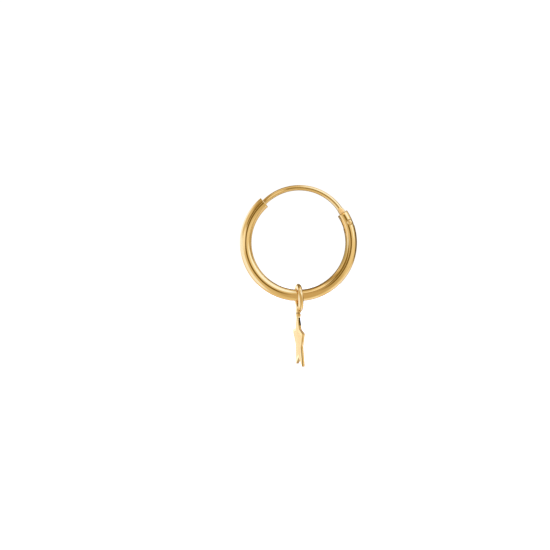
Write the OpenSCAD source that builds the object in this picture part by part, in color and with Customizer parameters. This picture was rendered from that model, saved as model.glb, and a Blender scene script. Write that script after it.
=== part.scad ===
// Sleeper hoop earring: a hollow tube bent into a hoop, closed by a hinged ear wire,
// with a flat star hanging from a ring on the tube.
// Millimetres. +Z is up and the hoop lies in the XZ plane. The origin is on the ear wire's
// centreline, straight above the centre of the hoop, where the earring hangs in the ear.
// Angles of the hoop are counted counter-clockwise from +X, seen from the front (from -Y).

/* [Hoop] */
// Outside diameter of the hoop
hoop_od = 12; // [11:0.1:14]
// Diameter of the tube
tube_d = 1.2; // [1.1:0.05:1.3]
// Wall of the hollow tube
tube_wall = 0.175; // [0.14:0.005:0.19]
// Angle of the open mouth that the ear wire enters
mouth_angle = 130.3; // [126:0.1:136]
// Angle of the forked end that holds the hinge
fork_angle = 33.8; // [32:0.1:36]

/* [Hinge] */
// Width of the slot between the two ears of the fork
slot_w = 0.45; // [0.4:0.01:0.5]
// Angle of the rivet
rivet_angle = 21.7; // [21:0.1:23]
// Distance of the rivet from the centreline of the tube, outwards
rivet_out = 0.2; // [0.15:0.01:0.22]
// Diameter of the rivet's shank
rivet_d = 0.3; // [0.26:0.01:0.32]
// Diameter of the rivet's heads
rivet_head_d = 0.5; // [0.46:0.01:0.54]
// Width over both heads of the rivet
rivet_over = 1.5; // [1.42:0.01:1.6]

/* [Ear wire] */
// Diameter of the ear wire
wire_d = 0.56; // [0.5:0.01:0.6]
// How far the centre of the ear wire's arc is set out from the centre of the hoop
wire_bulge = 0.6; // [0.5:0.01:0.65]
// Thickness of the flattened end in the slot
paddle_t = 0.3; // [0.25:0.01:0.32]
// Width of the flattened end
paddle_w = 0.68; // [0.62:0.01:0.7]
// How far the tapered tip reaches into the mouth
tip_depth = 0.4; // [0.3:0.01:0.42]

/* [Drop] */
// Outside diameter of the ring
ring_od = 2.88; // [2.7:0.02:3.2]
// Wire of the ring
ring_wire = 0.55; // [0.5:0.01:0.6]
// Radius to the points of the star, before they are rounded
star_r = 3.13; // [2.8:0.01:3.4]
// Radius to the inner corners of the star
star_waist_r = 1.64; // [1.5:0.01:1.8]
// Thickness of the star
star_t = 0.36; // [0.3:0.01:0.4]
// Distance from the centre of the ring to the centre of the star
star_drop_z = 4.43; // [4.3:0.01:4.6]
// How far the star is soldered off the middle of the ring, towards -X
star_side = 0.23; // [0.2:0.01:0.26]
// Turn of the drop about the vertical
drop_yaw = 9; // [0:0.5:15]
// Lean of the drop in the plane of the hoop, with its foot towards +X
drop_lean = 3.4; // [0:0.1:5]
// Tilt of the star in its own plane, with the front points down
star_tilt = 3; // [0:0.5:5]

/* [Hidden] */
$fn = 96;
past = 0.4;

// Hoop
hoop_r = (hoop_od - tube_d) / 2;
bore_r = tube_d / 2 - tube_wall;
plug_angle = 12;
slot_floor_angle = 17.2;

// Pressed flats on the outer side of the fork
cheek_from_middle = 0.1;
cheek_under = 0.05;
cheek_proud = 0.01;
cheek_past_rivet = 1;
cheek_in = hoop_r + cheek_from_middle;
cheek_out = hoop_od / 2 - cheek_under;
cheek_y_in = tube_d / 2 + cheek_proud;
cheek_y_out = 0.38;
cheek_floor_angle = rivet_angle - cheek_past_rivet;

// Rivet
rivet_r = hoop_r + rivet_out;
rivet_at = rivet_r * [cos(rivet_angle), sin(rivet_angle)];
ear_play = 0.02;
paddle_play = 0.06;
ear_hole_d = rivet_d + ear_play;
paddle_hole_d = rivet_d + paddle_play;
boss_rim = 0.06;
boss_proud = 0.02;
boss_d = rivet_head_d + 2 * boss_rim;
boss_y = tube_d / 2 + boss_proud;
head_gap = 0.01;
head_edge = 0.05;

// Ear wire: an arc from the centre of the mouth, then a straight that touches the arc
// and ends at the rivet
gap_mid = (mouth_angle + fork_angle) / 2;
wire_centre = wire_bulge * [cos(gap_mid), sin(gap_mid)];
mouth_at = hoop_r * [cos(mouth_angle), sin(mouth_angle)] - wire_centre;
wire_r = norm(mouth_at);
mouth_turn = atan2(mouth_at[1], mouth_at[0]);
rivet_off = rivet_at - wire_centre;
paddle_turn = atan2(rivet_off[1], rivet_off[0]) + acos(wire_r / norm(rivet_off));
paddle_len = sqrt(norm(rivet_off) * norm(rivet_off) - wire_r * wire_r);
flatten_len = 0.36;
flatten_slice = 0.01;
flatten_fn = 32;
tip_r = 0.13;
tip_cone = 0.24;
tip_turn = (tip_depth - tip_r - tip_cone) / wire_r * 180 / PI;
tip_inset = 0.005;

// Height of the hoop's centre, so that the ear wire's centreline passes through the origin
hoop_z = -(wire_centre[1] + sqrt(wire_r * wire_r - wire_centre[0] * wire_centre[0]));

// Drop
ring_r = (ring_od - ring_wire) / 2;
ring_gap = 0.03;
point_round = 0.08;
neck_w = 0.8;
neck_len = 0.9;

// Puts what is drawn in XY into the plane of the hoop, about the hoop's centre
module in_hoop_plane() {
    translate([0, 0, hoop_z]) rotate([90, 0, 0]) children();
}

// A bent bar: turns the section about the hoop's centre between two angles
module bent(from_angle, to_angle) {
    rotate([0, 0, from_angle]) rotate_extrude(angle = to_angle - from_angle) children();
}

module flat_cheek_section() {
    polygon([
        [cheek_in, -cheek_y_in], [cheek_out, -cheek_y_out],
        [cheek_out, cheek_y_out], [cheek_in, cheek_y_in]
    ]);
}

module hoop_tube() {
    color("#dcae55") in_hoop_plane() difference() {
        union() {
            bent(mouth_angle, fork_angle + 360) translate([hoop_r, 0]) circle(d = tube_d);
            bent(cheek_floor_angle, fork_angle) flat_cheek_section();
            translate(rivet_at) cylinder(d = boss_d, h = 2 * boss_y, center = true);
        }
        bent(mouth_angle - past, plug_angle + 360) translate([hoop_r, 0]) circle(r = bore_r);
        bent(slot_floor_angle, fork_angle + past)
            translate([hoop_r, 0]) square([2 * tube_d, slot_w], center = true);
        translate(rivet_at) cylinder(d = ear_hole_d, h = 2 * tube_d, center = true);
    }
}

module hinge_rivet() {
    head_under = boss_y + head_gap;
    half_section = [
        [rivet_d / 2, head_under], [rivet_head_d / 2, head_under],
        [rivet_head_d / 2, head_under + head_edge], [rivet_d / 2, rivet_over / 2],
        [0, rivet_over / 2]
    ];
    other_half = [for (k = [4:-1:0]) [half_section[k][0], -half_section[k][1]]];
    color("#e6bd68") in_hoop_plane() translate(rivet_at)
        rotate_extrude() polygon(concat(half_section, other_half));
}

// The flattened end, drawn with the arc's end at the origin and the rivet towards -Y
module paddle() {
    difference() {
        union() {
            linear_extrude(paddle_t, center = true) {
                translate([-paddle_w / 2, -paddle_len]) square([paddle_w, paddle_len - flatten_len]);
                translate([0, -paddle_len]) circle(d = paddle_w);
            }
            hull() {
                rotate([90, 0, 0]) cylinder(d = wire_d, h = flatten_slice, $fn = flatten_fn);
                translate([-paddle_w / 2, -flatten_len, -paddle_t / 2])
                    cube([paddle_w, flatten_slice, paddle_t]);
            }
        }
        translate([0, -paddle_len]) cylinder(d = paddle_hole_d, h = 2 * paddle_t, center = true);
    }
}

// The tapered tip, drawn with the arc's end at the origin and the tip towards +Y
module wire_tip() {
    translate([0, -tip_inset]) rotate([-90, 0, 0])
        cylinder(r1 = wire_d / 2 - tip_inset, r2 = tip_r, h = tip_cone + tip_inset);
    translate([0, tip_cone]) sphere(r = tip_r);
}

module ear_wire() {
    color("#e0b45c") in_hoop_plane() translate(wire_centre) {
        bent(paddle_turn, mouth_turn + tip_turn) translate([wire_r, 0]) circle(d = wire_d);
        rotate([0, 0, paddle_turn]) translate([wire_r, 0]) paddle();
        rotate([0, 0, mouth_turn + tip_turn]) translate([wire_r, 0]) wire_tip();
    }
}

// Outline of the star: each point is an arc that touches both of its edges, and between
// two points comes a plain inner corner
function star_outline() =
    let (
        corner = star_waist_r * [sin(36), cos(36)],
        half_angle = atan(corner[0] / (star_r - corner[1])),
        arc_centre = star_r - point_round / sin(half_angle),
        reach = 90 - half_angle
    )
    [for (k = [0:4]) each concat(
        [for (a = [-reach:reach / 3:reach])
            let (turn = 90 + 72 * k)
            arc_centre * [cos(turn), sin(turn)]
                + point_round * [cos(turn + a), sin(turn + a)]],
        [star_waist_r * [cos(126 + 72 * k), sin(126 + 72 * k)]]
    )];

module star_drop() {
    color("#f0c987")
        translate([0, 0, hoop_z - hoop_r + tube_d / 2 + ring_gap])
        rotate([0, 0, drop_yaw]) rotate([0, -drop_lean, 0])
        translate([0, 0, -(ring_r - ring_wire / 2)])
        rotate([90, 0, -90]) {
            rotate_extrude() translate([ring_r, 0]) circle(d = ring_wire);
            translate([0, 0, star_side]) linear_extrude(star_t, center = true) {
                translate([0, -star_drop_z]) rotate(-star_tilt) polygon(star_outline());
                translate([-neck_w / 2, -ring_r - neck_len]) square([neck_w, neck_len]);
            }
        }
}

hoop_tube();
hinge_rivet();
ear_wire();
star_drop();
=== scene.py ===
"""Looks of a sleeper hoop earring with a star drop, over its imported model.

The pieces are modelled in millimetres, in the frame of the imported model, and brought to
metres when they are finished. Angles of the hoop are in degrees, counted counter-clockwise
from +X, seen from the front (from -Y)."""

from math import acos, atan2, cos, degrees, hypot, pi, radians, sin, sqrt

import bmesh
import bpy
from mathutils import Matrix, Vector


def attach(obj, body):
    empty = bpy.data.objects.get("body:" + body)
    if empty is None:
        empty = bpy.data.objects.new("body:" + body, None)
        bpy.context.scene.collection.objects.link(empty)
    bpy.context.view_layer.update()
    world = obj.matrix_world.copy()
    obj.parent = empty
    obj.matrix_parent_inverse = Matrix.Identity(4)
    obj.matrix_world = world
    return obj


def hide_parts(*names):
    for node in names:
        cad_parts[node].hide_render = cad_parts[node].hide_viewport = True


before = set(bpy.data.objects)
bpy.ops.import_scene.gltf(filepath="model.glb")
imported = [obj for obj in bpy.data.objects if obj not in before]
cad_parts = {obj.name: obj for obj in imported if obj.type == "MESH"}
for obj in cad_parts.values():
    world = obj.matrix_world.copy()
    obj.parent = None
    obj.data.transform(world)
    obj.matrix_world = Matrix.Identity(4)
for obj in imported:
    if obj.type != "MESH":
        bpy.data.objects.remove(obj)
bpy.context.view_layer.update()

# Sizes are in millimetres and angles in degrees, unless a comment says otherwise
MM_PER_M = 1000
# How near a point counts as on a line or in a plane: millimetres, or degrees of the hoop
NEAR, TOUCHING = 0.01, 0.001

# Sizes of the hoop
HOOP_R, TUBE_R, TUBE_WALL = 5.4, 0.6, 0.175
HOOP_CENTRE = (0.0, -5.61401)
MOUTH_ANGLE, FORK_ANGLE = 130.3, 33.8
TUBE_SIDES, TUBE_STEPS, BORE_STEPS = 96, 340, 240
# The rims at the tube's ends: angle, radius, width of the rounding and its segments
RIMS = [(MOUTH_ANGLE, TUBE_R, 0.05, 4),
        (MOUTH_ANGLE, TUBE_R - TUBE_WALL, 0.03, 3),
        (FORK_ANGLE, TUBE_R, 0.06, 4)]
SLOT_W, SLOT_FLOOR_ANGLE, SLOT_PAST_END, SLOT_STEPS = 0.45, 17.2, 4, 24
# Where the bore ends, solid metal goes on to the fork
PLUG_ANGLE = 12.0
# The pressed cheeks' section, from the inside out: radius and half width
CHEEK = [(5.30, 0.588), (5.41, 0.611), (5.53, 0.614), (5.64, 0.580), (5.79, 0.475),
         (5.86, 0.366)]
# They start at an angle and stop a little short of the fork's end, where they are rounded
CHEEK_FROM, CHEEK_SHORT, CHEEK_STEPS, CHEEK_EDGE = 20.7, 0.12, 12, 0.095
# They sink into the tube in steps: degrees round the hoop, and how much narrower
RUN_OUT, RUN_OUT_STEPS = [(2.0, 0.95), (2.0, 0.90)], 3
# Radians between two faces from which their edge counts as a corner
CHEEK_CORNER, NECK_CORNER = 0.5, 0.7
# Degrees before and past the fork's end that show the saw's work
SAWN = (0.9, 0.1)

# Sizes of the hinge
RIVET_ANGLE, RIVET_R, SHANK_D = 21.7, 5.6, 0.3
BOSS_D, BOSS_Y, BOSS_SIDES, PIN_SIDES = 0.62, 0.62, 64, 48
# Play of the shank in the ears and in the ear wire's eye, and how far each drill reaches
EAR_PLAY, EAR_DRILL = 0.02, 1.0
EYE_PLAY, EYE_DRILL = 0.06, 0.5
HEAD_GAP = 0.01
# The rivet's domed heads: distance along the pin from under the head, and radius
DOME = [(0.0, 0.235), (0.012, 0.25), (0.045, 0.247), (0.068, 0.228), (0.088, 0.195),
        (0.100, 0.15), (0.109, 0.10), (0.114, 0.05)]
# The hammer's dimples: where on the dome they start, and how deep they are
DIMPLED_FROM, DIMPLE = 0.03, 0.004

# Sizes of the ear wire
WIRE_D, WIRE_BULGE, PADDLE_T, PADDLE_W = 0.56, 0.6, 0.3, 0.68
WIRE_SIDES, WIRE_STEPS = 64, 150
TIP_DEPTH = 0.4
# The tapered and rounded tip: distance past the arc's end, and radius
TIP = [(0.04, 0.272), (0.09, 0.250), (0.16, 0.208), (0.23, 0.166), (0.28, 0.135),
       (0.32, 0.102), (0.35, 0.065), (0.37, 0.02)]
# The other end before it is pressed: distance back from the arc, half width, half thickness
WIDENING = [(0.09, 0.287, 0.262), (0.18, 0.303, 0.234), (0.27, 0.322, 0.208),
            (0.36, 0.335, 0.192)]
# Where it has its full width, its half thickness there, how much it thins out past the rivet,
# and the turns at which its round end is drawn
FULL_WIDTH_AT, HALF_T, THINNING = (0.45, 0.9, 1.4), 0.185, 0.02
END_TURNS = (15, 30, 45, 58, 70, 80)
# The press: where its flat starts, the run-up before it, and its own size
PRESS_FROM, PRESS_RUN_UP = 0.36, 0.5
PRESS_W, PRESS_T, PRESS_LENGTH = 1.4, 0.6, 3.0
# Where the pressed faces' dull finish, with its painted paler colour, starts, back from the arc
PRESSED_FROM = 0.1

# Sizes of the drop
RING_OD, RING_WIRE, RING_GAP = 2.88, 0.55, 0.03
RING_STEPS, RING_SIDES = 160, 56
STAR_R, WAIST_R, STAR_T, STAR_DROP = 3.13, 1.64, 0.36, 4.43
STAR_SIDE, DROP_YAW, DROP_LEAN, STAR_TILT = 0.23, 9.0, 3.4, 3.0
# Degrees between two points of the star
POINT_TURN = 72
# The two slopes at the rim of the star's faces, from the outside in: width and drop
ROLL = [(0.12, 0.022), (0.18, 0.012)]
POINT_BLUNT, EDGE_ROUND = 0.16, 0.035
# The neck: distance down from its top, half width, half thickness, middle of the thickness
NECK = [(0.0, 0.34, 0.20, 0.12), (0.16, 0.44, 0.235, 0.12), (0.34, 0.47, 0.235, 0.13),
        (0.42, 0.465, 0.225, 0.14), (0.47, 0.42, 0.19, 0.16), (0.53, 0.405, 0.175, 0.17),
        (0.59, 0.42, 0.185, 0.18), (0.65, 0.46, 0.215, 0.19), (0.75, 0.465, 0.215, 0.19),
        (0.86, 0.44, 0.19, 0.19), (1.0, 0.42, 0.165, 0.20), (1.3, 0.41, 0.155, 0.20),
        (1.5, 0.30, 0.11, 0.20)]
NECK_TOP, NECK_EDGE = -1.02, 0.07
# The solder and the groove, whose shade is painted: stretch of the neck, and least distance
# from the ring's middle
SOLDER, GROOVE = (0.36, 1.0, 1.42), (0.475, 0.585, 1.45)
SOLDER_HALF_W = 0.5
# The slit that the solder left open, painted nearly black as shade: middle, turn, size,
# how much its foot is wider, and how far its faces reach from its middle
SEAM, SEAM_TURN = (0.66, -2.42, 0.17), 31
SEAM_SIZE, SEAM_FOOT, SEAM_REACH = (0.14, 0.86, 0.15), (1.5, 1, 1.4), (0.12, 0.45, 0.12)

# Finishes: how far polishing lines are drawn out, the size of clouds in the colour and of
# wiped patches, the least and most wear, and the tilt of the lines across the star
LINE_STRETCH, CLOUD_SIZE, WIPE_SIZE = 14, 1.4, 0.5
WORN = (0.12, 0.42)
LINE_TILT = 8


# Drawing by hand
def on_arc(radius, angle, centre=HOOP_CENTRE):
    """A point in the plane of the hoop, on an arc about a centre."""
    a = radians(angle)
    return Vector((centre[0] + radius * cos(a), 0, centre[1] + radius * sin(a)))


def across(angle):
    """Turns a primitive so that its X points outwards and its Z along the arc."""
    return (0, -radians(angle), 0)


def round_hoop(point):
    """Distance from the hoop's centre and angle of a point, from 0 to 360."""
    x, z = point.x - HOOP_CENTRE[0], point.z - HOOP_CENTRE[1]
    return hypot(x, z), degrees(atan2(z, x)) % 360


def only(piece):
    """Makes a piece the only one that is selected, and the active one."""
    for thing in bpy.context.selected_objects:
        thing.select_set(False)
    piece.select_set(True)
    bpy.context.view_layer.objects.active = piece


def begin(name):
    """Names the primitive that was just added and opens it for editing."""
    piece = bpy.context.object
    piece.name = name
    bpy.ops.object.mode_set(mode="EDIT")
    return piece


def close():
    """Turns every face outwards and ends the editing."""
    bpy.ops.mesh.select_all(action="SELECT")
    bpy.ops.mesh.normals_make_consistent(inside=False)
    bpy.ops.object.mode_set(mode="OBJECT")


def all_of_it(p, n):
    return True


def pick(piece, kind, test):
    """Selects the verts, edges or faces that pass the test. It gets their middle and the way
    they face, both in the frame, and for edges the edge itself as the second."""
    kinds = ("verts", "edges", "faces")
    bpy.context.tool_settings.mesh_select_mode = [kind == k for k in kinds]
    mesh = bmesh.from_edit_mesh(piece.data)
    world, turn = piece.matrix_world, piece.matrix_world.to_3x3()
    for part in (mesh.verts, mesh.edges, mesh.faces):
        for item in part:
            item.select_set(False)
    for item in getattr(mesh, kind):
        if kind == "verts":
            middle = item.co
        elif kind == "edges":
            middle = (item.verts[0].co + item.verts[1].co) / 2
        else:
            middle = item.calc_center_median()
        facing = turn @ item.normal if kind != "edges" else item
        if test(world @ middle, facing):
            item.select_set(True)
    mesh.select_flush_mode()
    bmesh.update_edit_mesh(piece.data)


def sweep(angle, steps, centre=HOOP_CENTRE):
    """Draws what is selected out along an arc, counter-clockwise for a positive angle."""
    bpy.ops.mesh.spin(steps=steps, angle=radians(angle), use_auto_merge=False,
                      center=(centre[0], 0, centre[1]), axis=(0, 1, 0))


def draw_out(step):
    """Extrudes the selected faces by a step in the frame."""
    bpy.ops.mesh.extrude_region_move(TRANSFORM_OT_translate={"value": tuple(step)})


def scale_about(point, factors, axes="GLOBAL"):
    """Scales what is selected about a point, along the frame's axes or the piece's own
    (LOCAL)."""
    bpy.ops.transform.resize(value=factors, orient_type=axes, center_override=tuple(point))


def round_off(width, segments):
    """Rounds the selected edges."""
    bpy.ops.mesh.bevel(offset=width, segments=segments, affect="EDGES")


def combine(piece, tool, operation):
    """Cuts a tool from the piece (DIFFERENCE) or fuses it on (UNION), and drops the tool."""
    modifier = piece.modifiers.new("combine", "BOOLEAN")
    modifier.operation, modifier.object, modifier.solver = operation, tool, "EXACT"
    bpy.context.view_layer.objects.active = piece
    bpy.ops.object.modifier_apply(modifier=modifier.name)
    bpy.data.objects.remove(tool)


def settle(piece):
    """Writes a piece's place into its mesh."""
    only(piece)
    bpy.ops.object.transform_apply(location=True, rotation=True, scale=True)


def coat(piece, finish, test=all_of_it):
    """Adds a finish to a piece and lays it on the faces that pass the test."""
    piece.data.materials.append(finish)
    only(piece)
    bpy.ops.object.mode_set(mode="EDIT")
    pick(piece, "faces", test)
    piece.active_material_index = len(piece.data.materials) - 1
    bpy.ops.object.material_slot_assign()
    bpy.ops.object.mode_set(mode="OBJECT")


def finish_piece(piece, body, replaced, smooth_angle):
    """Brings a piece from millimetres to metres, keeps its edges crisp from an angle on, and
    hands it to its body."""
    settle(piece)
    piece.scale = (1 / MM_PER_M, 1 / MM_PER_M, 1 / MM_PER_M)
    settle(piece)
    bpy.ops.object.mode_set(mode="EDIT")
    bpy.ops.mesh.select_all(action="SELECT")
    bpy.ops.mesh.remove_doubles(threshold=1e-7)
    close()
    bpy.ops.object.shade_smooth_by_angle(angle=radians(smooth_angle))
    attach(piece, body)
    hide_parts(replaced)


# Finishes
def linear(colour):
    """A linear colour with full alpha from an sRGB hex value."""
    parts = [int(colour[k:k + 2], 16) / 255 for k in (1, 3, 5)]
    return tuple(c / 12.92 if c <= 0.04045 else ((c + 0.055) / 1.055) ** 2.4
                 for c in parts) + (1.0,)


def node(tree, kind, inputs=None, **settings):
    """Adds a shader node with its settings, and its inputs as values or links."""
    made = tree.nodes.new("ShaderNode" + kind)
    for name, value in settings.items():
        setattr(made, name, value)
    for name, value in (inputs or {}).items():
        if isinstance(value, bpy.types.NodeSocket):
            tree.links.new(value, made.inputs[name])
        else:
            made.inputs[name].default_value = value
    return made


def pattern(size):
    """Scale of a pattern on coordinates in metres, from its features' size in millimetres."""
    return MM_PER_M / size


def new_finish(name):
    finish = bpy.data.materials.new(name)
    finish.use_nodes = True
    finish.node_tree.nodes.clear()
    return finish, finish.node_tree


def as_it_lies(tree):
    return node(tree, "TexCoord").outputs["Object"]


def round_the_hoop(tree):
    """Coordinates that run with the tube: radius, Y, and arc length drawn out to long lines."""
    to_centre = (0, 0, -HOOP_CENTRE[1] / MM_PER_M)
    moved = node(tree, "VectorMath", {0: as_it_lies(tree), 1: to_centre}, operation="ADD")
    parts = node(tree, "SeparateXYZ", {0: moved.outputs[0]}).outputs
    flat = node(tree, "CombineXYZ", {"X": parts["X"], "Z": parts["Z"]})
    radius = node(tree, "VectorMath", {0: flat.outputs[0]}, operation="LENGTH")
    turn = node(tree, "Math", {0: parts["Z"], 1: parts["X"]}, operation="ARCTAN2")
    along = node(tree, "Math", {0: turn.outputs[0], 1: HOOP_R / MM_PER_M / LINE_STRETCH},
                 operation="MULTIPLY")
    return node(tree, "CombineXYZ", {"X": radius.outputs["Value"], "Y": parts["Y"],
                                     "Z": along.outputs[0]}).outputs[0]


def across_the_star(tree):
    """Coordinates drawn out nearly level across the star's face."""
    return node(tree, "Mapping", {"Vector": as_it_lies(tree),
                                  "Rotation": (radians(LINE_TILT), 0, 0),
                                  "Scale": (1, 1 / LINE_STRETCH, 1)}).outputs[0]


def gold(name, tones, gloss, lines, waves, edge, sheen=1.0):
    """Gold with polishing lines, soft waves and edges rounded by the wheel.

    tones: darker and lighter colour. gloss: least and most roughness. lines: the coordinates
    that the lines run on, their size and depth. waves: their size and depth. edge: radius of
    the rounding. Sizes, depths and the radius are in millimetres. sheen: how bright the metal
    still is at a slant."""
    finish, tree = new_finish(name)
    here = as_it_lies(tree)
    coordinates, line_size, line_depth = lines
    wave_size, wave_depth = waves
    cloud = node(tree, "TexNoise", {"Vector": here, "Scale": pattern(CLOUD_SIZE),
                                    "Detail": 2.0})
    tint = node(tree, "MixRGB", {"Fac": cloud.outputs["Fac"], "Color1": linear(tones[0]),
                                 "Color2": linear(tones[1])})
    fine = node(tree, "TexNoise", {"Vector": coordinates(tree), "Scale": pattern(line_size),
                                   "Detail": 3.0, "Roughness": 0.6})
    wipe = node(tree, "TexNoise", {"Vector": here, "Scale": pattern(WIPE_SIZE),
                                   "Detail": 3.0})
    worn = node(tree, "Math", {0: fine.outputs["Fac"], 1: wipe.outputs["Fac"]},
                operation="MULTIPLY")
    rough = node(tree, "MapRange", {"Value": worn.outputs[0], "From Min": WORN[0],
                                    "From Max": WORN[1], "To Min": gloss[0],
                                    "To Max": gloss[1]})
    rounded = node(tree, "Bevel", {"Radius": edge / MM_PER_M}, samples=6)
    wave = node(tree, "TexNoise", {"Vector": here, "Scale": pattern(wave_size),
                                   "Detail": 0.0})
    waved = node(tree, "Bump", {"Height": wave.outputs["Fac"], "Strength": 1.0,
                                "Distance": wave_depth / MM_PER_M,
                                "Normal": rounded.outputs["Normal"]})
    lined = node(tree, "Bump", {"Height": fine.outputs["Fac"], "Strength": 1.0,
                                "Distance": line_depth / MM_PER_M,
                                "Normal": waved.outputs["Normal"]})
    metal = node(tree, "BsdfPrincipled", {"Base Color": tint.outputs["Color"], "Metallic": 1.0,
                                          "Specular Tint": (sheen, sheen, sheen, 1.0),
                                          "Roughness": rough.outputs["Result"],
                                          "Normal": lined.outputs["Normal"]})
    node(tree, "OutputMaterial", {"Surface": metal.outputs["BSDF"]})
    return finish


# Hoop: gold-plated silver tube, polished to a mirror with rouge. The bent thin tube keeps soft
# waves of a few millimetres, and the wheel leaves hairlines along it.
polished_gold = gold("Mirror_polished_yellow_gold", ("#d8ae6b", "#dfb877"), (0.05, 0.12),
                     (round_the_hoop, 0.05, 0.00012), (1.8, 0.010), 0.03)
# Slot, bore and the hoop's forked end: as the saw and the drill left them, with scored lines
# and no shine, browner where the plating is thin.
sawn_gold = gold("Sawn_and_drilled_gold", ("#a87c3c", "#c49a58"), (0.32, 0.48),
                 (round_the_hoop, 0.06, 0.004), (0.6, 0.004), 0.02)
# Ear wire: drawn round wire, so its lines run lengthwise and it is a little less bright.
wire_gold = gold("Drawn_gold_wire", ("#d8ae6b", "#e0ba7a"), (0.08, 0.17),
                 (round_the_hoop, 0.035, 0.0003), (1.2, 0.006), 0.03)
# The wire's flat end: pressed between dies and left as it came out, so it is duller. Its
# colour is painted paler, a painted highlight that keeps the flat a light tan where it faces
# the room's dark front.
pressed_gold_painted_paler = gold("Die_pressed_gold_painted_paler", ("#ecc07c", "#f6d292"), (0.48, 0.60),
                    (round_the_hoop, 0.05, 0.003), (0.5, 0.004), 0.03)
# Rivet: its heads are hammered over, so they are dimpled, and only lightly buffed. Their
# colour is painted lighter than the hoop's gold, a painted highlight where they face the
# room's dark front.
rivet_gold_painted_lighter = gold("Hammered_gold_rivet_painted_lighter", ("#ecc07c", "#f6d292"), (0.24, 0.36),
                  (as_it_lies, 0.11, 0.007), (0.35, 0.006), 0.02)
# Ring and the star's edges: cast, then tumbled bright.
cast_gold = gold("Tumbled_cast_gold", ("#d8ae6b", "#e2be80"), (0.07, 0.15),
                 (as_it_lies, 0.09, 0.0005), (0.9, 0.008), 0.04)
# Star's faces: lapped flat on fine paper, so fine level scratches blur the light to an even tan.
lapped_gold = gold("Flat_lapped_gold", ("#d6a156", "#ddab60"), (0.20, 0.32),
                   (across_the_star, 0.045, 0.0014), (2.5, 0.003), 0.01)
# Neck: solder that has run and set, pitted and lumpy, plated over.
solder = gold("Plated_solder", ("#d8ae6b", "#e2be80"), (0.12, 0.26),
              (as_it_lies, 0.10, 0.012), (0.28, 0.018), 0.02)
# Groove of the neck: olive brown and dull, a painted shade in the groove between the ring
# and the solder.
groove_painted_shade = gold("Solder_painted_groove_shade", ("#94743a", "#b08c4c"), (0.34, 0.48),
                      (as_it_lies, 0.08, 0.006), (0.3, 0.004), 0.01)
# Open slit below the neck: painted nearly black, with little shine at a slant, as painted
# shade in the slit.
seam_painted_shade = gold("Seam_painted_shade", ("#3f2a00", "#5e4008"), (0.60, 0.75),
                 (as_it_lies, 0.08, 0.006), (0.3, 0.004), 0.01, sheen=0.1)


# Making the hoop and its hinge
def flat_cheek():
    """The pressed cheeks that stand on the outer side of the fork's two ears: a short slope on
    their inner side, and a rounded fall towards the outside of the hoop."""
    last = len(CHEEK) - 1
    middle = on_arc((CHEEK[0][0] + CHEEK[last][0]) / 2, CHEEK_FROM)
    bpy.ops.mesh.primitive_grid_add(x_subdivisions=last, y_subdivisions=1, size=1,
                                    location=middle, rotation=across(CHEEK_FROM))
    bar = begin("cheek")
    outwards = on_arc(1, CHEEK_FROM) - on_arc(0, CHEEK_FROM)
    # each row of the grid is shaped and set aside, clear of the rows that are still to come
    aside = outwards * 10
    for k, (radius, half_width) in enumerate(CHEEK):
        row = middle + outwards * (k / last - 0.5)
        pick(bar, "verts", lambda p, n: abs((p - row).dot(outwards)) < NEAR
             and abs(p.y) > 0.5 - TOUCHING)
        scale_about(row, (1, 2 * half_width, 1))
        bpy.ops.transform.translate(value=(on_arc(radius, CHEEK_FROM) - row) + aside)
    pick(bar, "verts", all_of_it)
    bpy.ops.transform.translate(value=-aside)
    pick(bar, "faces", all_of_it)
    sweep(FORK_ANGLE - CHEEK_FROM - CHEEK_SHORT, CHEEK_STEPS)
    angle = CHEEK_FROM
    for step, narrower in RUN_OUT:
        pick(bar, "faces", lambda p, n: abs(round_hoop(p)[1] - angle) < NEAR)
        sweep(-step, RUN_OUT_STEPS)
        angle -= step
        pick(bar, "verts", lambda p, n: abs(round_hoop(p)[1] - angle) < NEAR)
        scale_about(middle, (1, narrower, 1))
    # the corner all round the end at the fork
    pick(bar, "edges", lambda p, e: abs(round_hoop(p)[1] - FORK_ANGLE + CHEEK_SHORT) < 2 * NEAR
         and abs(p.y) > SLOT_W / 2 and e.calc_face_angle(0) > CHEEK_CORNER)
    round_off(CHEEK_EDGE, 4)
    close()
    return bar


def slot_bar():
    """The saw cut between the two ears of the fork."""
    bpy.ops.mesh.primitive_plane_add(size=1, location=on_arc(HOOP_R, SLOT_FLOOR_ANGLE),
                                     rotation=across(SLOT_FLOOR_ANGLE))
    bar = begin("slot")
    scale_about(bar.location, (4 * TUBE_R, SLOT_W, 1), "LOCAL")
    pick(bar, "faces", all_of_it)
    sweep(FORK_ANGLE + SLOT_PAST_END - SLOT_FLOOR_ANGLE, SLOT_STEPS)
    close()
    return bar


def pin(name, diameter, half_length, sides=PIN_SIDES):
    """A round bar along Y at the rivet."""
    bpy.ops.mesh.primitive_cylinder_add(vertices=sides, radius=diameter / 2,
                                        depth=2 * half_length,
                                        location=on_arc(RIVET_R, RIVET_ANGLE),
                                        rotation=(radians(90), 0, 0))
    piece = bpy.context.object
    piece.name = name
    return piece


def at_rim(angle, from_middle):
    """A test for the edges of a round rim at an end of the tube."""
    middle = on_arc(HOOP_R, angle)
    return lambda p, e: (abs(round_hoop(p)[1] - angle) < 5 * NEAR
                         and abs((p - middle).length - from_middle) < NEAR)


def in_the_bore(p, n):
    return hypot(round_hoop(p)[0] - HOOP_R, p.y) < TUBE_R - TUBE_WALL + 2 * NEAR


def in_the_slot(p, n):
    return (abs(p.y) < SLOT_W / 2 + TOUCHING
            and SLOT_FLOOR_ANGLE - 1 < round_hoop(p)[1] < FORK_ANGLE + 1)


def at_the_fork_end(p, n):
    return FORK_ANGLE - SAWN[0] < round_hoop(p)[1] < FORK_ANGLE + SAWN[1]


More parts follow.
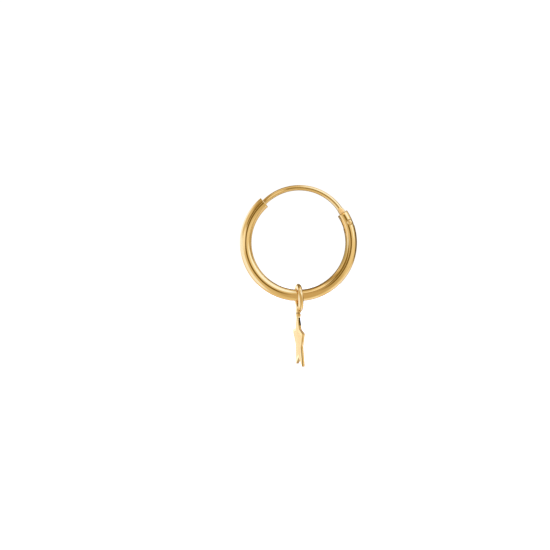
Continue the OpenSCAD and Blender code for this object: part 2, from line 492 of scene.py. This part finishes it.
def hoop_tube():
    bpy.ops.mesh.primitive_circle_add(vertices=TUBE_SIDES, radius=TUBE_R, fill_type="NGON",
                                      location=on_arc(HOOP_R, FORK_ANGLE),
                                      rotation=across(FORK_ANGLE))
    tube = begin("hoop_tube_looks")
    pick(tube, "faces", all_of_it)
    sweep(MOUTH_ANGLE - FORK_ANGLE - 360, TUBE_STEPS)
    # the bore runs back from the mouth
    pick(tube, "faces", lambda p, n: (p - on_arc(HOOP_R, MOUTH_ANGLE)).length < NEAR)
    bpy.ops.mesh.inset(thickness=TUBE_WALL)
    sweep(360 + PLUG_ANGLE - MOUTH_ANGLE, BORE_STEPS)
    for angle, radius, width, segments in RIMS:
        pick(tube, "edges", at_rim(angle, radius))
        round_off(width, segments)
    close()
    combine(tube, flat_cheek(), "UNION")
    combine(tube, pin("boss", BOSS_D, BOSS_Y, BOSS_SIDES), "UNION")
    combine(tube, slot_bar(), "DIFFERENCE")
    combine(tube, pin("rivet_hole", SHANK_D + EAR_PLAY, EAR_DRILL), "DIFFERENCE")
    coat(tube, polished_gold)
    coat(tube, sawn_gold, in_the_bore)
    coat(tube, sawn_gold, in_the_slot)
    coat(tube, sawn_gold, at_the_fork_end)
    finish_piece(tube, "hoop", "hoop_tube", smooth_angle=32)


def hinge_rivet():
    """A pin with a domed head hammered over at each end."""
    head_y = BOSS_Y + HEAD_GAP
    rivet = pin("hinge_rivet_looks", SHANK_D, head_y)
    bpy.ops.object.mode_set(mode="EDIT")
    for side in (-1, 1):
        pick(rivet, "faces", lambda p, n: p.y * side > head_y - TOUCHING and n.y * side > 0.9)
        before = (0.0, SHANK_D / 2)
        for along, radius in DOME:
            draw_out((0, side * (along - before[0]), 0))
            middle = on_arc(RIVET_R, RIVET_ANGLE) + Vector((0, side * (head_y + along), 0))
            scale_about(middle, (radius / before[1], 1, radius / before[1]))
            before = (along, radius)
        pick(rivet, "verts", lambda p, n: p.y * side > head_y + DIMPLED_FROM)
        bpy.ops.transform.vertex_random(offset=DIMPLE, normal=0.4, seed=5 + side)
    close()
    # the heads' colour is painted lighter, as a painted highlight
    coat(rivet, rivet_gold_painted_lighter)
    finish_piece(rivet, "hoop", "hinge_rivet", smooth_angle=50)


# Making the ear wire
def ear_wire():
    """An arc from the mouth, then a straight end that touches the arc and reaches the rivet."""
    mid = radians((MOUTH_ANGLE + FORK_ANGLE) / 2)
    centre = (HOOP_CENTRE[0] + WIRE_BULGE * cos(mid), HOOP_CENTRE[1] + WIRE_BULGE * sin(mid))
    mouth = on_arc(HOOP_R, MOUTH_ANGLE) - Vector((centre[0], 0, centre[1]))
    rivet = on_arc(RIVET_R, RIVET_ANGLE) - Vector((centre[0], 0, centre[1]))
    wire_r = mouth.length
    paddle_len = sqrt(rivet.length ** 2 - wire_r ** 2)
    paddle_turn = degrees(atan2(rivet.z, rivet.x) + acos(wire_r / rivet.length))
    tip_len = TIP[-1][0]
    mouth_turn = degrees(atan2(mouth.z, mouth.x) + (TIP_DEPTH - tip_len) / wire_r)
    start = on_arc(wire_r, paddle_turn, centre)
    bpy.ops.mesh.primitive_circle_add(vertices=WIRE_SIDES, radius=WIRE_D / 2, fill_type="NGON",
                                      location=start, rotation=across(paddle_turn))
    wire = begin("ear_wire_looks")
    pick(wire, "faces", all_of_it)
    sweep(mouth_turn - paddle_turn, WIRE_STEPS, centre)

    end = on_arc(wire_r, mouth_turn, centre)
    a = radians(mouth_turn)
    ahead = Vector((-sin(a), 0, cos(a)))
    pick(wire, "faces", lambda p, n: (p - end).length < NEAR)
    before = (0.0, WIRE_D / 2)
    for along, radius in TIP:
        draw_out(ahead * (along - before[0]))
        scale = radius / before[1]
        scale_about(end + ahead * along, (scale, scale, scale))
        before = (along, radius)

    # the flat end: widened evenly, then rounded past the rivet
    a = radians(paddle_turn)
    back = Vector((sin(a), 0, -cos(a)))
    half = PADDLE_W / 2
    sections = WIDENING + [(along, half, HALF_T) for along in FULL_WIDTH_AT + (paddle_len,)]
    for u in map(radians, END_TURNS):
        sections.append((paddle_len + half * sin(u), half * cos(u), HALF_T - THINNING * sin(u)))
    pick(wire, "faces", lambda p, n: (p - start).length < NEAR)
    before = (0.0, WIRE_D / 2, WIRE_D / 2)
    for along, width, thick in sections:
        draw_out(back * (along - before[0]))
        scale_about(start + back * along, (width / before[1], thick / before[2], 1), "LOCAL")
        before = (along, width, thick)
    close()

    # two blocks with a slanted foot press the flats and their run-up
    slope = (WIRE_D - PADDLE_T) / 2 / PRESS_FROM
    for side in (-1, 1):
        middle = (start + back * (PRESS_FROM + PRESS_LENGTH / 2)
                  + Vector((0, side * (PADDLE_T / 2 + PRESS_T / 2), 0)))
        bpy.ops.mesh.primitive_cube_add(size=1, location=middle, rotation=across(paddle_turn))
        block = begin("press")
        bpy.ops.mesh.select_all(action="SELECT")
        scale_about(middle, (PRESS_W, PRESS_T, PRESS_LENGTH), "LOCAL")
        pick(block, "faces", lambda p, n: n.dot(back) < -0.9)
        draw_out(back * -PRESS_RUN_UP + Vector((0, side * slope * PRESS_RUN_UP, 0)))
        close()
        combine(wire, block, "DIFFERENCE")
    combine(wire, pin("eye", SHANK_D + EYE_PLAY, EYE_DRILL), "DIFFERENCE")
    coat(wire, wire_gold)
    # the pressed flats get the painted paler colour as well as the dull finish
    coat(wire, pressed_gold_painted_paler,
         lambda p, n: abs(n.y) > 0.8 and (p - start).dot(back) > PRESSED_FROM)
    finish_piece(wire, "wire", "ear_wire", smooth_angle=24)


# Making the drop: drawn lying flat, its ring about the origin in XY and its star towards -Y
def drop_place():
    """Where the drop hangs, as a matrix from the way it is drawn."""
    hang = Matrix.Translation((0, 0, HOOP_CENTRE[1] - HOOP_R + TUBE_R + RING_GAP))
    yaw = Matrix.Rotation(radians(DROP_YAW), 4, "Z")
    lean = Matrix.Rotation(radians(-DROP_LEAN), 4, "Y")
    lower = Matrix.Translation((0, 0, -(RING_OD / 2 - RING_WIRE)))
    stand = Matrix.Rotation(radians(-90), 4, "Z") @ Matrix.Rotation(radians(90), 4, "X")
    return hang @ (yaw @ lean) @ lower @ stand


def star_plate():
    """A flat star. The polishing wheel has rolled its faces off towards the edges, in two
    slopes, and blunted its points."""
    wall = STAR_T - 2 * (ROLL[0][1] + ROLL[1][1])
    low = STAR_SIDE - wall / 2
    bpy.ops.mesh.primitive_circle_add(vertices=10, radius=STAR_R, fill_type="NGON",
                                      location=(0, 0, low))
    star = begin("star_drop_looks")
    # every second corner is an inner one
    pick(star, "verts",
         lambda p, n: abs(degrees(atan2(p.x, p.y)) % POINT_TURN - POINT_TURN / 2) < 5)
    scale_about((0, 0, low), (WAIST_R / STAR_R, WAIST_R / STAR_R, 1))
    pick(star, "faces", all_of_it)
    draw_out((0, 0, wall))
    for side in (-1, 1):
        pick(star, "faces", lambda p, n: (p.z - STAR_SIDE) * side > wall / 2 - TOUCHING)
        for width, drop in ROLL:
            bpy.ops.mesh.inset(thickness=width, depth=drop)
    # the upright edges at the points, then the rims of the wall
    pick(star, "edges", lambda p, e: abs(p.z - STAR_SIDE) < NEAR
         and hypot(p.x, p.y) > (STAR_R + WAIST_R) / 2)
    round_off(POINT_BLUNT, 4)
    pick(star, "edges", lambda p, e: abs(abs(p.z - STAR_SIDE) - wall / 2) < TOUCHING)
    round_off(EDGE_ROUND, 3)
    close()
    star.rotation_euler.z = radians(-STAR_TILT)
    star.location.y = -STAR_DROP
    settle(star)
    return star


def ring():
    """A round wire bent to a ring and soldered shut at the neck."""
    bpy.ops.mesh.primitive_torus_add(major_radius=(RING_OD - RING_WIRE) / 2,
                                     minor_radius=RING_WIRE / 2,
                                     major_segments=RING_STEPS, minor_segments=RING_SIDES)
    bpy.context.object.name = "ring"
    return bpy.context.object


def solder_neck():
    """The soldered neck: a collar under the ring, a groove, a second collar, then a short bar
    that sinks into the star's top point."""
    bpy.ops.mesh.primitive_plane_add(size=2, location=(0, NECK_TOP, 0),
                                     rotation=(radians(90), 0, 0))
    neck = begin("neck")
    lowest = NECK_TOP
    before = (1.0, 1.0, 0.0)
    for along, width, thick, middle in NECK:
        pick(neck, "faces", lambda p, n: n.y < -0.9 and abs(p.y - lowest) < TOUCHING)
        if along:
            draw_out((0, NECK_TOP - along - lowest, middle - before[2]))
        else:
            bpy.ops.transform.translate(value=(0, 0, middle))
        lowest = NECK_TOP - along
        scale_about((0, lowest, middle), (width / before[0], 1, thick / before[1]))
        before = (width, thick, middle)
    # the four corners down its length, and the foot's
    pick(neck, "edges", lambda p, e: p.y < NECK_TOP - TOUCHING
         and e.calc_face_angle(0) > NECK_CORNER)
    round_off(NECK_EDGE, 3)
    close()
    settle(neck)
    return neck


def solder_seam():
    """A slit along the near edge of the star's top point, wider at its foot, that the solder
    left open. Its faces are painted nearly black, as painted shade."""
    bpy.ops.mesh.primitive_cube_add(size=1, location=SEAM, rotation=(0, 0, radians(SEAM_TURN)))
    seam = begin("seam")
    bpy.ops.mesh.select_all(action="SELECT")
    scale_about(SEAM, SEAM_SIZE, "LOCAL")
    pick(seam, "faces", lambda p, n: n.y < -0.7)
    scale_about(SEAM, SEAM_FOOT, "LOCAL")
    close()
    return seam


def down_the_neck(p, least, most, off_the_ring):
    """Whether a point is on a stretch of the neck, clear of the ring."""
    return least < NECK_TOP - p.y < most and hypot(p.x, p.y) > off_the_ring


def on_a_lapped_face(p, n):
    return abs(n.z) > 0.9999 and p.y < NECK_TOP - SOLDER[1]


def in_the_shaded_seam(p, n):
    """Faces of the slit, which get the painted shade: they lie on the bar that cut it."""
    off = Matrix.Rotation(radians(-SEAM_TURN), 3, "Z") @ (p - Vector(SEAM))
    return (-SEAM_REACH[0] < off.x < -NEAR and abs(off.y) < SEAM_REACH[1]
            and abs(off.z) < SEAM_REACH[2])


def star_drop():
    star = star_plate()
    combine(star, solder_neck(), "UNION")
    combine(star, ring(), "UNION")
    combine(star, solder_seam(), "DIFFERENCE")
    coat(star, cast_gold)
    coat(star, lapped_gold, on_a_lapped_face)
    coat(star, solder, lambda p, n: down_the_neck(p, *SOLDER) and abs(p.x) < SOLDER_HALF_W)
    # the groove gets the painted shade, olive brown
    coat(star, groove_painted_shade, lambda p, n: down_the_neck(p, *GROOVE))
    # the slit's faces get the painted shade, nearly black
    coat(star, seam_painted_shade, in_the_shaded_seam)
    star.matrix_world = drop_place() @ star.matrix_world
    finish_piece(star, "drop", "star_drop", smooth_angle=28)


hoop_tube()
hinge_rivet()
ear_wire()
star_drop()

# Studio, in metres. A direction from the earring is an azimuth, counter-clockwise from +X seen
# from the front, and an angle away from the front.
# Diffused light panels round the earring's middle: name, azimuth, angle away from the front,
# width and height, and how far they stand
MIDDLE = Vector((0, 0, -0.009))
PANELS = [("panel_left", 204, 88, 0.64, 0.84),
          ("panel_upper_right", 48, 70, 0.58, 0.58)]
PANEL_AWAY = 0.5
# The room's plain tone, how bright the camera sees it, and its soft zones, of which a later one
# covers the ones before: direction of the middle, radius where the tone is full, radius where
# it ends, and tone
ROOM_TONE, SEEN_BRIGHT = (1.02, 1.02, 0.94), 1.05
ZONES = [((0, 180), 62, 90, (1.26, 1.25, 1.20)),
         ((0, 180), 36, 56, (0.66, 0.58, 0.42)),
         ((180, 165), 12, 30, (1.45, 1.38, 1.10)),
         ((345, 38), 24, 42, (1.20, 1.26, 1.28)),
         ((290, 42), 18, 36, (0.84, 0.81, 0.64)),
         ((305, 105), 22, 38, (1.32, 1.50, 2.00)),
         ((118, 74), 6, 16, (1.40, 1.48, 1.60)),
         ((204, 82), 27, 39, (1.38, 1.78, 2.90)),
         ((166, 120), 16, 30, (1.42, 1.84, 3.00)),
         ((52, 68), 25, 38, (1.44, 1.96, 3.40)),
         ((18, 60), 8, 18, (1.44, 1.92, 3.00)),
         ((106, 29), 5, 12, (0.60, 0.50, 0.28)),
         ((0, 0), 9, 19, (0.29, 0.22, 0.05)),
         ((141, 33), 8, 15, (0.29, 0.21, 0.03)),
         ((132, 54), 8, 13, (0.56, 0.46, 0.26)),
         ((132, 74), 8, 13, (0.64, 0.56, 0.36)),
         ((112, 110), 16, 29, (0.34, 0.28, 0.14)),
         ((30, 124), 11, 19, (0.38, 0.35, 0.24)),
         ((3, 114), 15, 25, (0.08, 0.07, 0.04))]
FLOOR_R, FLOOR_Z = 4.0, -0.026

# Small cards near the gold, in millimetres: name, middle, way it faces, radius, soft share of
# the radius, and tone
TO_FRONT, TO_BACK, TO_LEFT, TO_RIGHT, UP = (0, -1, 0), (0, 1, 0), (-1, 0, 0), (1, 0, 0), (0, 0, 1)
CARDS = [
    # Behind the hoop, out of the star's reach: the inner edge reflects it as a dark line.
    ("card_behind", (1.0, 3.3, -5.5), TO_FRONT, 4.2, 0.15, (0.33, 0.27, 0.13)),
    # Upright in the hoop below the hinge: a darker line at the right inner edge.
    ("card_behind_the_right", (3.0, 0.3, -6.3), TO_RIGHT, 1.5, 0.35, (0.66, 0.68, 0.58)),
    # In front of the hoop's foot and of the wire's tip: there the gold stays an even tan.
    ("card_at_the_foot", (1.0, -3.5, -12.7), TO_BACK, 4.2, 0.55, (0.83, 0.76, 0.60)),
    ("card_at_the_tip", (-2.4, -2.6, -0.5), TO_BACK, 1.5, 0.45, (1.26, 1.33, 1.45)),
    # In front of the hoop's hollow: it darkens the inner side below the hinge.
    ("card_in_the_hollow", (2.3, -3.0, -6.8), TO_BACK, 1.9, 0.50, (0.36, 0.29, 0.10)),
    # Low in front of the hoop's middle: a cream band along the inner side right of the ring.
    ("card_to_the_foot", (0.95, -2.9, -7.7), TO_BACK, 1.2, 0.50, (1.44, 1.60, 2.00)),
    # In front of the left side: the outer half stays cream up to the dark stripe.
    ("card_on_the_left", (-7.7, -3.0, -5.1), TO_BACK, 2.4, 0.60, (1.44, 1.66, 2.20)),
    # Behind the hoop's hollow: it keeps the left inner edge from going dark.
    ("card_to_the_left", (-1.5, 3.0, -5.0), TO_LEFT, 2.7, 0.20, (1.04, 1.00, 0.82)),
    # Upright in the hollow, facing the hinge: tan in front, and darker towards the back.
    ("card_to_the_hinge", (2.8, -0.95, -4.6), TO_RIGHT, 1.0, 0.40, (1.28, 1.24, 1.22)),
    ("card_to_the_rim", (2.8, 0.1, -4.6), TO_RIGHT, 0.7, 0.50, (0.44, 0.37, 0.18)),
    ("card_to_the_fork", (2.9, -0.3, -3.7), TO_RIGHT, 0.55, 0.40, (0.16, 0.13, 0.03)),
    # Before the wire's flat end, which faces the dark camera side: it stays a light tan.
    ("card_at_the_flat", (4.48, -1.1, -2.42), TO_BACK, 0.46, 0.40, (1.60, 1.47, 1.22)),
    # To the right of the star: its back stays gold where it faces the room's dark side.
    ("card_beside_the_star", (5.0, 1.6, -16.0), TO_LEFT, 4.0, 0.30, (1.16, 1.18, 1.16)),
    # Under the star's front: the under side of its front point stays tan.
    ("card_under_the_star", (0.4, -2.6, -19.0), UP, 1.3, 0.40, (0.80, 0.70, 0.48)),
]

# Camera: lens and sensor in millimetres, and the width that the picture shows at the hoop
LENS, SENSOR, SPAN = 150.0, 36.0, 0.0563
EYE_X, EYE_Z = -0.00240, -0.00893


def toward(azimuth, off_axis):
    """A direction from the earring, as a vector."""
    a, o = radians(azimuth), radians(off_axis)
    return Vector((sin(o) * cos(a), -cos(o), sin(o) * sin(a)))


def softbox(name, azimuth, off_axis, width, height):
    """A light panel that faces the earring. It lights the floor; the camera doesn't see it, and
    neither does the gold, which only mirrors the room and the cards."""
    light = bpy.data.lights.new(name, "AREA")
    light.shape, light.size, light.size_y = "RECTANGLE", width, height
    # as bright as plain white in the room, whatever its size
    light.energy = pi * width * height
    lamp = bpy.data.objects.new(name, light)
    bpy.context.scene.collection.objects.link(lamp)
    out = toward(azimuth, off_axis)
    lamp.location = MIDDLE + out * PANEL_AWAY
    lamp.rotation_mode = "QUATERNION"
    lamp.rotation_quaternion = out.to_track_quat("Z", "Y")
    lamp.visible_camera = lamp.visible_glossy = False


def studio_room():
    """A pale room round the earring. The camera sees it white; the gold reflects its soft
    tones: bright behind, and dark where the camera and the photographer stand."""
    world = bpy.data.worlds.new("Studio")
    world.use_nodes = True
    bpy.context.scene.world = world
    tree = world.node_tree
    tree.nodes.clear()
    way = node(tree, "TexCoord").outputs["Generated"]
    tone = node(tree, "CombineXYZ", dict(zip("XYZ", ROOM_TONE))).outputs[0]
    for middle, full, ends, colour in ZONES:
        near = node(tree, "VectorMath", {0: way, 1: tuple(toward(*middle))},
                    operation="DOT_PRODUCT")
        share = node(tree, "MapRange", {"Value": near.outputs["Value"],
                                        "From Min": cos(radians(ends)),
                                        "From Max": cos(radians(full))},
                     interpolation_type="SMOOTHSTEP")
        tone = node(tree, "MixRGB", {"Fac": share.outputs["Result"], "Color1": tone,
                                     "Color2": colour + (1.0,)}).outputs["Color"]
    room = node(tree, "Background", {"Color": tone})
    seen = node(tree, "Background", {"Color": (1, 1, 1, 1), "Strength": SEEN_BRIGHT})
    by_camera = node(tree, "LightPath").outputs["Is Camera Ray"]
    both = node(tree, "MixShader", {0: by_camera, 1: room.outputs[0], 2: seen.outputs[0]})
    node(tree, "OutputWorld", {"Surface": both.outputs[0]})


def pale_floor():
    """A wide sheet of white card under the hanging earring."""
    bpy.ops.mesh.primitive_circle_add(vertices=128, radius=FLOOR_R, fill_type="NGON",
                                      location=(0, 0, FLOOR_Z))
    floor = bpy.context.object
    floor.name = "floor"
    finish, tree = new_finish("White_card")
    card = node(tree, "BsdfPrincipled", {"Base Color": (0.93, 0.93, 0.93, 1), "Roughness": 0.9,
                                         "Emission Color": (1, 1, 1, 1),
                                         "Emission Strength": 0.4})
    node(tree, "OutputMaterial", {"Surface": card.outputs["BSDF"]})
    floor.data.materials.append(finish)
    floor.visible_glossy = floor.visible_shadow = False


def small_card(name, middle, facing, radius, soft, tone):
    """A small round card close to the earring, hidden from the camera, so that only the gold
    that it faces sees it. It fades out at the rim, over the soft part of its radius, and is
    clear from behind."""
    radius = radius / MM_PER_M
    bpy.ops.mesh.primitive_circle_add(vertices=64, radius=radius, fill_type="NGON",
                                      location=Vector(middle) / MM_PER_M,
                                      rotation=Vector(facing).to_track_quat("Z", "Y").to_euler())
    card = bpy.context.object
    card.name = name
    finish, tree = new_finish("Paper_" + name)
    out = node(tree, "VectorMath", {0: as_it_lies(tree)}, operation="LENGTH")
    behind = node(tree, "NewGeometry").outputs["Backfacing"]
    front = node(tree, "Math", {0: 1.0, 1: behind}, operation="SUBTRACT")
    share = node(tree, "MapRange", {"Value": out.outputs["Value"], "From Min": radius,
                                    "From Max": radius * (1 - soft), "To Max": front.outputs[0]},
                 interpolation_type="SMOOTHSTEP")
    clear = node(tree, "BsdfTransparent")
    glow = node(tree, "Emission", {"Color": tone + (1.0,), "Strength": 1.0})
    both = node(tree, "MixShader", {0: share.outputs["Result"], 1: clear.outputs[0],
                                    2: glow.outputs[0]})
    node(tree, "OutputMaterial", {"Surface": both.outputs[0]})
    card.data.materials.append(finish)
    card.visible_camera = card.visible_shadow = card.visible_diffuse = False


def camera():
    """Level with the earring and straight at the hoop's face, as in the photograph."""
    data = bpy.data.cameras.new("camera")
    data.lens, data.sensor_width = LENS, SENSOR
    data.clip_start, data.clip_end = 0.005, 20
    eye = bpy.data.objects.new("camera", data)
    bpy.context.scene.collection.objects.link(eye)
    eye.location = (EYE_X, -SPAN * LENS / SENSOR, EYE_Z)
    eye.rotation_euler = (radians(90), 0, 0)
    bpy.context.scene.camera = eye


studio_room()
for panel in PANELS:
    softbox(*panel)
for card in CARDS:
    small_card(*card)
pale_floor()
camera()
bpy.context.scene.view_settings.view_transform = "Standard"
